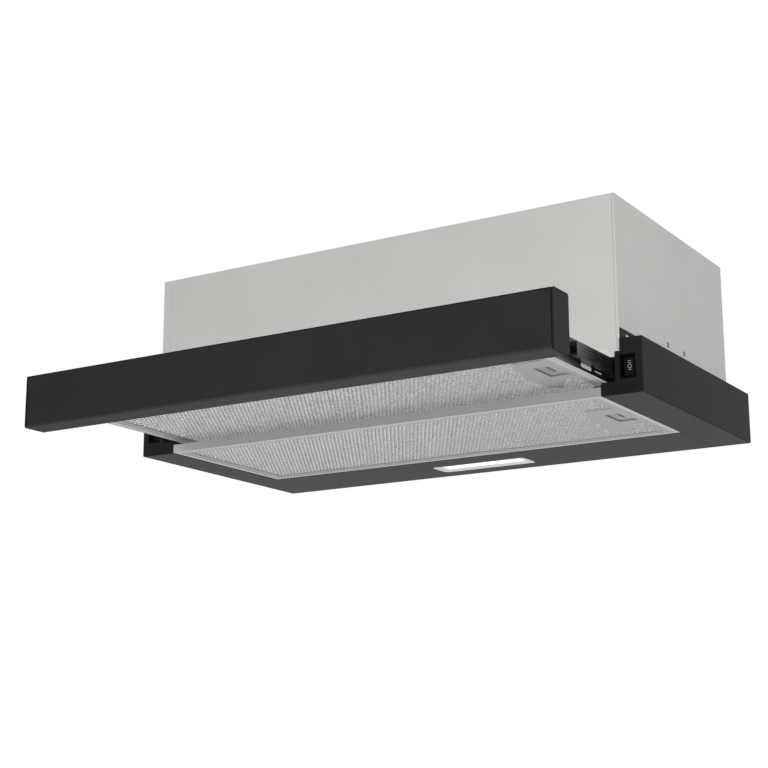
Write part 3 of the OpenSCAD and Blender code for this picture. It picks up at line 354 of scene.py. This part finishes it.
# ---------------------------------------------------------------- switches
# Rocker switches of nylon that snap into the front blocks from the front. The bodies are moulded in
# satin black, and the rockers are a little lighter.
satin_black, tree, shader, where = new_material("satin_black_nylon", Metallic=0.0, Specular_IOR_Level=0.02)
grain = add(tree, "TexNoise", {"Vector": where, "Scale": 1 / (0.3 * MM), "Detail": 2}).outputs["Fac"]
finish(tree, shader, (grain, "#030303", "#060606"), rough=(grain, 0.42, 0.52), height=grain,
       depth=0.004 * MM)
paint(satin_black, "light_switch_body", "speed_switch_body")

rocker_black, tree, shader, where = new_material("dark_grey_nylon", Metallic=0.0, Specular_IOR_Level=0.05)
grain = add(tree, "TexNoise", {"Vector": where, "Scale": 1 / (0.3 * MM), "Detail": 2}).outputs["Fac"]
finish(tree, shader, (grain, "#101010", "#151515"), rough=(grain, 0.42, 0.52), height=grain,
       depth=0.004 * MM)
paint(rocker_black, "light_rocker", "speed_rocker")


# ---------------------------------------------------------------- ball slides
# Cold-rolled steel members in black electrocoat, which is thin and glossy and lets the rolling lines
# of the steel show along their length. Toward the fascia the coat is painted grey, as a painted sheen.
SHEEN_LENGTH = 90 * MM
e_coat, tree, shader, where = new_material("black_electrocoat", Metallic=0.0, Specular_IOR_Level=0.6)
stretch = add(tree, "Mapping", {"Vector": where, "Scale": (1, 0.04, 1)}).outputs[0]
lines = add(tree, "TexNoise", {"Vector": stretch, "Scale": 1 / (0.5 * MM), "Detail": 3}).outputs["Fac"]
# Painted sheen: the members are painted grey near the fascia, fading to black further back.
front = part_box("inner_slide_right")[0].y
along = add(tree, "SeparateXYZ", {"Vector": where}).outputs["Y"]
along = add(tree, "MapRange", {"Value": along, "From Min": front, "From Max": front + SHEEN_LENGTH})
painted_sheen = add(tree, "ValToRGB", {"Fac": along.outputs[0]}, stops=((0.4, "#5c5c5c"), (0.9, "#141414")))
streaks = add(tree, "ValToRGB", {"Fac": lines}, stops=((0.3, "#b0b0b0"), (0.7, "#ffffff")))
both = add(tree, "Mix", {"Factor": 1.0, 6: painted_sheen.outputs["Color"], 7: streaks.outputs["Color"]},
           data_type="RGBA", blend_type="MULTIPLY")
finish(tree, shader, both.outputs[2], rough=(lines, 0.2, 0.34), height=lines, depth=0.01 * MM)
paint(e_coat, "outer_slide_left", "outer_slide_right", "middle_slide_left", "middle_slide_right",
      "inner_slide_left", "inner_slide_right")

# The cages are zinc-plated strip, and the balls in them are bright.
zinc, tree, shader, where = new_material("bright_zinc_plate", Metallic=1.0)
cloud = add(tree, "TexNoise", {"Vector": where, "Scale": 1 / (3 * MM), "Detail": 3}).outputs["Fac"]
finish(tree, shader, (cloud, "#b9bab6", "#cfcfca"), rough=(cloud, 0.22, 0.36))
paint(zinc, "outer_ball_cage_left", "outer_ball_cage_right", "inner_ball_cage_left",
      "inner_ball_cage_right")


# ---------------------------------------------------------------- drawer fascia
# The long handle: a folded steel profile in a smooth satin black paint, with a moulded cap pressed
# into each end. The caps are a little darker than the paint, with a fine grain.
fascia_black, tree, shader, where = new_material("satin_black_polyester_paint", Metallic=0.0,
                                                 Specular_IOR_Level=0.02)
peel = add(tree, "TexNoise", {"Vector": where, "Scale": 1 / (1.2 * MM), "Detail": 2}).outputs["Fac"]
cloud = add(tree, "TexNoise", {"Vector": where, "Scale": 1 / (60 * MM), "Detail": 3}).outputs["Fac"]
finish(tree, shader, (cloud, "#2b2b2b", "#2f2f2f"), rough=(cloud, 0.5, 0.58), height=peel, depth=0.015 * MM)
paint(fascia_black, "fascia")

cap_black, tree, shader, where = new_material("dull_black_abs", Metallic=0.0, Specular_IOR_Level=0.08)
grain = add(tree, "TexNoise", {"Vector": where, "Scale": 1 / (0.4 * MM), "Detail": 3}).outputs["Fac"]
finish(tree, shader, (grain, "#1e1e1e", "#222222"), rough=(grain, 0.5, 0.62), height=grain, depth=0.012 * MM)
paint(cap_black, "fascia_cap_left", "fascia_cap_right")


# ---------------------------------------------------------------- filter frames
# Each cassette has a frame of thin aluminium, folded round the mesh. The metal is as rolled, with
# fine lines along its length. The outer rim is painted lighter, as a painted highlight, its edge faces are
# painted a little darker, as painted shade, and its inner part is duller.
RIM_SPAN = 20 * MM      # the stops of the rim's tones are shares of this length, in from the edge


def frame_metal(node):
    """The metal of one frame, with a painted highlight and painted shade that follow its edge."""
    metal, tree, shader, where = new_material(node + "_mill_aluminium", Metallic=0.85)
    low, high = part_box(node)
    place = add(tree, "SeparateXYZ", {"Vector": where})
    from_side = add(tree, "Math", {0: place.outputs["X"]}, operation="ABSOLUTE")
    from_side = add(tree, "Math", {0: high.x, 1: from_side.outputs[0]}, operation="SUBTRACT")
    from_front = add(tree, "Math", {0: place.outputs["Y"], 1: low.y}, operation="SUBTRACT")
    from_back = add(tree, "Math", {0: high.y, 1: place.outputs["Y"]}, operation="SUBTRACT")
    inward = add(tree, "Math", {0: from_front.outputs[0], 1: from_back.outputs[0]}, operation="MINIMUM")
    inward = add(tree, "Math", {0: inward.outputs[0], 1: from_side.outputs[0]}, operation="MINIMUM")
    inward = add(tree, "Math", {0: inward.outputs[0], 1: 1 / RIM_SPAN}, operation="MULTIPLY")
    # Painted highlight on the outer rim, and painted shade on the edge faces, by distance in from the edge.
    rim_highlight_and_shade = add(tree, "ValToRGB", {"Fac": inward.outputs[0]},
              stops=((0.001, "#b2b2b1"), (0.02, "#c3c3c2"), (0.26, "#bcbcbb"), (0.3, "#a6a6a5")))
    stretch = add(tree, "Mapping", {"Vector": where, "Scale": (0.05, 1, 1)}).outputs[0]
    lines = add(tree, "TexNoise", {"Vector": stretch, "Scale": 1 / (0.5 * MM), "Detail": 3}).outputs["Fac"]
    cloud = add(tree, "TexNoise", {"Vector": where, "Scale": 1 / (30 * MM), "Detail": 2}).outputs["Fac"]
    streaks = add(tree, "ValToRGB", {"Fac": lines}, stops=((0.3, "#efefee"), (0.7, "#ffffff")))
    both = add(tree, "Mix", {"Factor": 1.0, 6: rim_highlight_and_shade.outputs["Color"], 7: streaks.outputs["Color"]},
               data_type="RGBA", blend_type="MULTIPLY")
    finish(tree, shader, both.outputs[2], rough=(cloud, 0.42, 0.56), height=lines, depth=0.01 * MM)
    paint(metal, node)


frame_metal("case_filter_frame")
frame_metal("drawer_filter_frame")


# ---------------------------------------------------------------- filter mesh
# Each pad is a pack of crumpled aluminium layers, pressed into slanting ridges. A whole sheet of
# expanded aluminium lies under it and another one over it: a slit sheet pulled into diamonds, with
# thin, slightly twisted strands that sparkle.
RIDGE_PITCH = 4 * MM
RIDGE_ANGLE = math.radians(31)
CELL = (4.69 * MM, 7.8 * MM)            # width and depth of a diamond
CELLS = (106, 23)                       # diamonds across and deep
STRAND = (1.1 * MM, 0.5 * MM)           # width and height of a strand
TWIST = 0.3 * MM                        # how far the top of a strand leans over
WELD = 0.005 * MM                       # vertices of neighbouring diamonds nearer than this are joined
LOWER_SHEET = 1.95 * MM                 # height of the lower sheet over the underside of the frame
UPPER_SHEET = 0.8 * MM                  # depth of the upper sheet under the top of the frame
TAB_X = (0.2094, 0.2494)                # the window for the finger tab, across
TAB_Y = (77 * MM, 123 * MM)             # and deep, from the front of the frame


def ridged_mesh(name, front, valley, ridge, crumple):
    """Crumpled aluminium on the ridges of a pad that starts at front, with painted shade in the valleys and
    a painted highlight on the ridges, from valley to ridge tone.
    """
    metal, tree, shader, where = new_material(name, Metallic=0.4)
    turned = add(tree, "Mapping", {"Vector": where, "Location": (0, -front, 0)}).outputs[0]
    turned = add(tree, "Mapping", {"Vector": turned, "Rotation": (0, 0, -RIDGE_ANGLE)}).outputs[0]
    across = add(tree, "SeparateXYZ", {"Vector": turned}).outputs["X"]
    across = add(tree, "Math", {0: across, 1: 1 / (RIDGE_PITCH / 2)}, operation="MULTIPLY").outputs[0]
    across = add(tree, "Math", {0: across, 1: 1}, operation="PINGPONG").outputs[0]
    folds = add(tree, "Mapping", {"Vector": turned, "Scale": (1, 0.4, 1)}).outputs[0]
    folds = add(tree, "TexNoise", {"Vector": folds, "Scale": 1 / (1.8 * MM), "Detail": 2}).outputs["Fac"]
    # Painted shade and highlight: across each ridge the tone runs from the dark valley colour to the light
    # ridge colour.
    ridge_shading = add(tree, "ValToRGB", {"Fac": across}, stops=((0.1, valley), (0.8, ridge)))
    creases = add(tree, "ValToRGB", {"Fac": folds}, stops=((0.36, crumple), (0.6, "#ffffff")))
    both = add(tree, "Mix", {"Factor": 1.0, 6: ridge_shading.outputs["Color"], 7: creases.outputs["Color"]},
               data_type="RGBA", blend_type="MULTIPLY")
    finish(tree, shader, both.outputs[2], rough=(folds, 0.35, 0.5), height=folds, depth=0.06 * MM)
    return metal


def deselect_all():
    """Leaves edit mode, with nothing selected."""
    if bpy.context.object and bpy.context.object.mode == "EDIT":
        bpy.ops.object.mode_set(mode="OBJECT")
    bpy.ops.object.select_all(action="DESELECT")


def select(piece, test):
    """Selects, in edit mode, only the vertices whose place passes the test."""
    mesh = bmesh.from_edit_mesh(piece.data)
    for vertex in mesh.verts:
        vertex.select = bool(test(vertex.co))
    mesh.select_flush_mode()
    mesh.select_flush(True)
    bmesh.update_edit_mesh(piece.data)


def apply_modifiers(piece):
    """Makes the piece's modifiers part of its mesh."""
    deselect_all()
    piece.select_set(True)
    bpy.context.view_layer.objects.active = piece
    for modifier in list(piece.modifiers):
        bpy.ops.object.modifier_apply(modifier=modifier.name)


def mesh_sheet(name):
    """A sheet of diamonds: one open strand, mirrored to a diamond, then laid out in rows."""
    deselect_all()
    half = (CELL[0] / 2, CELL[1] / 2)
    bpy.ops.mesh.primitive_cube_add(size=1, location=(half[0], half[1] / 2, 0))
    sheet = bpy.context.object
    sheet.name = name
    sheet.scale = (STRAND[0], half[1], STRAND[1])
    bpy.ops.object.transform_apply(location=True, rotation=True, scale=True)
    bpy.ops.object.mode_set(mode="EDIT")
    select(sheet, lambda p: p.y > half[1] / 2)
    bpy.ops.transform.translate(value=(-half[0], 0, 0))
    select(sheet, lambda p: p.z > 0)
    bpy.ops.transform.translate(value=(TWIST, 0, 0))
    bpy.ops.object.mode_set(mode="OBJECT")
    ends = bmesh.new()
    ends.from_mesh(sheet.data)
    bmesh.ops.delete(ends, geom=[f for f in ends.faces if abs(f.normal.y) > 0.9], context="FACES_ONLY")
    ends.to_mesh(sheet.data)
    ends.free()
    sheet.modifiers.new("diamond", "MIRROR").use_axis = (True, True, False)
    for axis in (0, 1):
        row = sheet.modifiers.new("row", "ARRAY")
        row.count = CELLS[axis]
        row.use_relative_offset = False
        row.use_constant_offset = True
        row.constant_offset_displace = (CELL[0] * (axis == 0), CELL[1] * (axis == 1), 0)
        row.use_merge_vertices = True
        row.merge_threshold = WELD
    apply_modifiers(sheet)
    return sheet


def lay_sheet(pattern, strands, name, body, pad, height, window=None):
    """A copy of the sheet under or over a pad, without the window for the latch's finger tab."""
    deselect_all()
    sheet = pattern.copy()
    sheet.data = pattern.data.copy()
    sheet.name = name
    bpy.context.scene.collection.objects.link(sheet)
    sheet.select_set(True)
    bpy.context.view_layer.objects.active = sheet
    low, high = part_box(pad)
    middle = (low + high) / 2
    first_x = middle.x - (CELLS[0] - 1) * CELL[0] / 2
    first_y = middle.y - (CELLS[1] - 1) * CELL[1] / 2
    sheet.location = (first_x, first_y, height)
    bpy.ops.object.transform_apply(location=True, rotation=True, scale=True)
    sheet.data.materials.append(strands)
    if window:
        bpy.ops.object.mode_set(mode="EDIT")
        select(sheet, lambda p: window[0] < p.x < window[1] and window[2] < p.y < window[3])
        bpy.ops.mesh.delete(type="VERT")
        bpy.ops.object.mode_set(mode="OBJECT")
    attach(sheet, body)


pattern = mesh_sheet("expanded_sheet")
for side, body in (("case", "case_filter"), ("drawer", "drawer")):
    pad = side + "_filter_pad"
    low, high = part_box(side + "_filter_frame")
    paint(ridged_mesh(side + "_packed_mesh", low.y, "#90908f", "#aeaead", "#d8d8d7"), pad)
    strands = ridged_mesh(side + "_mesh_strands", low.y, "#acacab", "#cccccb", "#c2c2c1")
    tab = (TAB_X[0], TAB_X[1], low.y + TAB_Y[0], low.y + TAB_Y[1])
    lay_sheet(pattern, strands, side + "_filter_lower_sheet", body, pad, low.z + LOWER_SHEET, tab)
    lay_sheet(pattern, strands, side + "_filter_upper_sheet", body, pad, high.z - UPPER_SHEET)
bpy.data.objects.remove(pattern)


# ---------------------------------------------------------------- filter latches
# A pressed aluminium plate that slides in each frame. Its finger tab shows in the window of the
# frame, and a bow of spring steel pushes its bolt out.
latch_metal, tree, shader, where = new_material("pressed_aluminium", Metallic=1.0)
rub = add(tree, "TexNoise", {"Vector": where, "Scale": 1 / (1.5 * MM), "Detail": 3}).outputs["Fac"]
finish(tree, shader, (rub, "#a0a09f", "#acacab"), rough=(rub, 0.34, 0.48), height=rub, depth=0.01 * MM)
paint(latch_metal, "case_latch", "drawer_latch")

spring_steel, tree, shader, where = new_material("blued_spring_steel", Metallic=1.0)
hue = add(tree, "TexNoise", {"Vector": where, "Scale": 1 / (4 * MM), "Detail": 2}).outputs["Fac"]
finish(tree, shader, (hue, "#6f727c", "#8a8d93"), rough=(hue, 0.25, 0.36))
paint(spring_steel, "case_latch_spring", "drawer_latch_spring")


# ---------------------------------------------------------------- marks on the speed rocker
# Pad-printed in white on the hollow face of the rocker, turned on their side: II above, O in the
# middle, I below. Each mark is a thin layer of ink that stands a little out of the face.
MARK_X = 0.2852
# Each mark's name and height.
MARKS = (("mark_two_upper", 0.0320), ("mark_two_lower", 0.0303), ("mark_off", 0.0270), ("mark_one", 0.0237))
BAR = (3.4 * MM, 0.45 * MM)             # length and width of a straight mark
RING_RADIUS = 2.0 * MM
RING_WIDTH = 0.55 * MM
INK_LIFT = 0.09 * MM                    # how far the ink stands out of the face
INK_DEPTH = 0.12 * MM                   # its whole thickness, of which the rest is in the face
HOLLOW_RADIUS = 40 * MM                 # of the hollow in the face
HOLLOW_AXIS_Y = -86.8 * MM              # 42.8 mm in front of the rocker's pins

white_print, tree, shader, where = new_material("white_pad_print", Metallic=0.0, Roughness=0.5)
ink = add(tree, "TexNoise", {"Vector": where, "Scale": 1 / (0.4 * MM), "Detail": 2}).outputs["Fac"]
finish(tree, shader, (ink, "#8c8c8a", "#a0a09e"))


def on_face(z):
    """How far back the hollow face of the rocker lies at a height."""
    low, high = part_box("speed_rocker")
    middle = (low.z + high.z) / 2
    return HOLLOW_AXIS_Y + math.sqrt(HOLLOW_RADIUS ** 2 - (z - middle) ** 2)


for name, z in MARKS:
    deselect_all()
    at = (MARK_X, on_face(z) - INK_LIFT, z)
    if name == "mark_off":
        bpy.ops.mesh.primitive_circle_add(vertices=32, radius=RING_RADIUS, fill_type="NGON", location=at,
                                          rotation=(math.pi / 2, 0, 0))
    else:
        bpy.ops.mesh.primitive_plane_add(size=1, location=at, rotation=(math.pi / 2, 0, 0))
        bpy.context.object.scale = (BAR[0], BAR[1], 1)
    mark = bpy.context.object
    mark.name = name
    bpy.ops.object.transform_apply(location=True, rotation=True, scale=True)
    bpy.ops.object.mode_set(mode="EDIT")
    bpy.ops.mesh.select_all(action="SELECT")
    if name == "mark_off":
        bpy.ops.mesh.inset(thickness=RING_WIDTH, depth=0)
        bpy.ops.mesh.delete(type="FACE")
    bpy.ops.mesh.select_all(action="SELECT")
    bpy.ops.mesh.extrude_region_move(TRANSFORM_OT_translate={"value": (0, INK_DEPTH, 0)})
    bpy.ops.mesh.select_all(action="SELECT")
    bpy.ops.mesh.normals_make_consistent(inside=False)
    bpy.ops.object.mode_set(mode="OBJECT")
    mark.data.materials.append(white_print)
    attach(mark, "speed_rocker")


deselect_all()
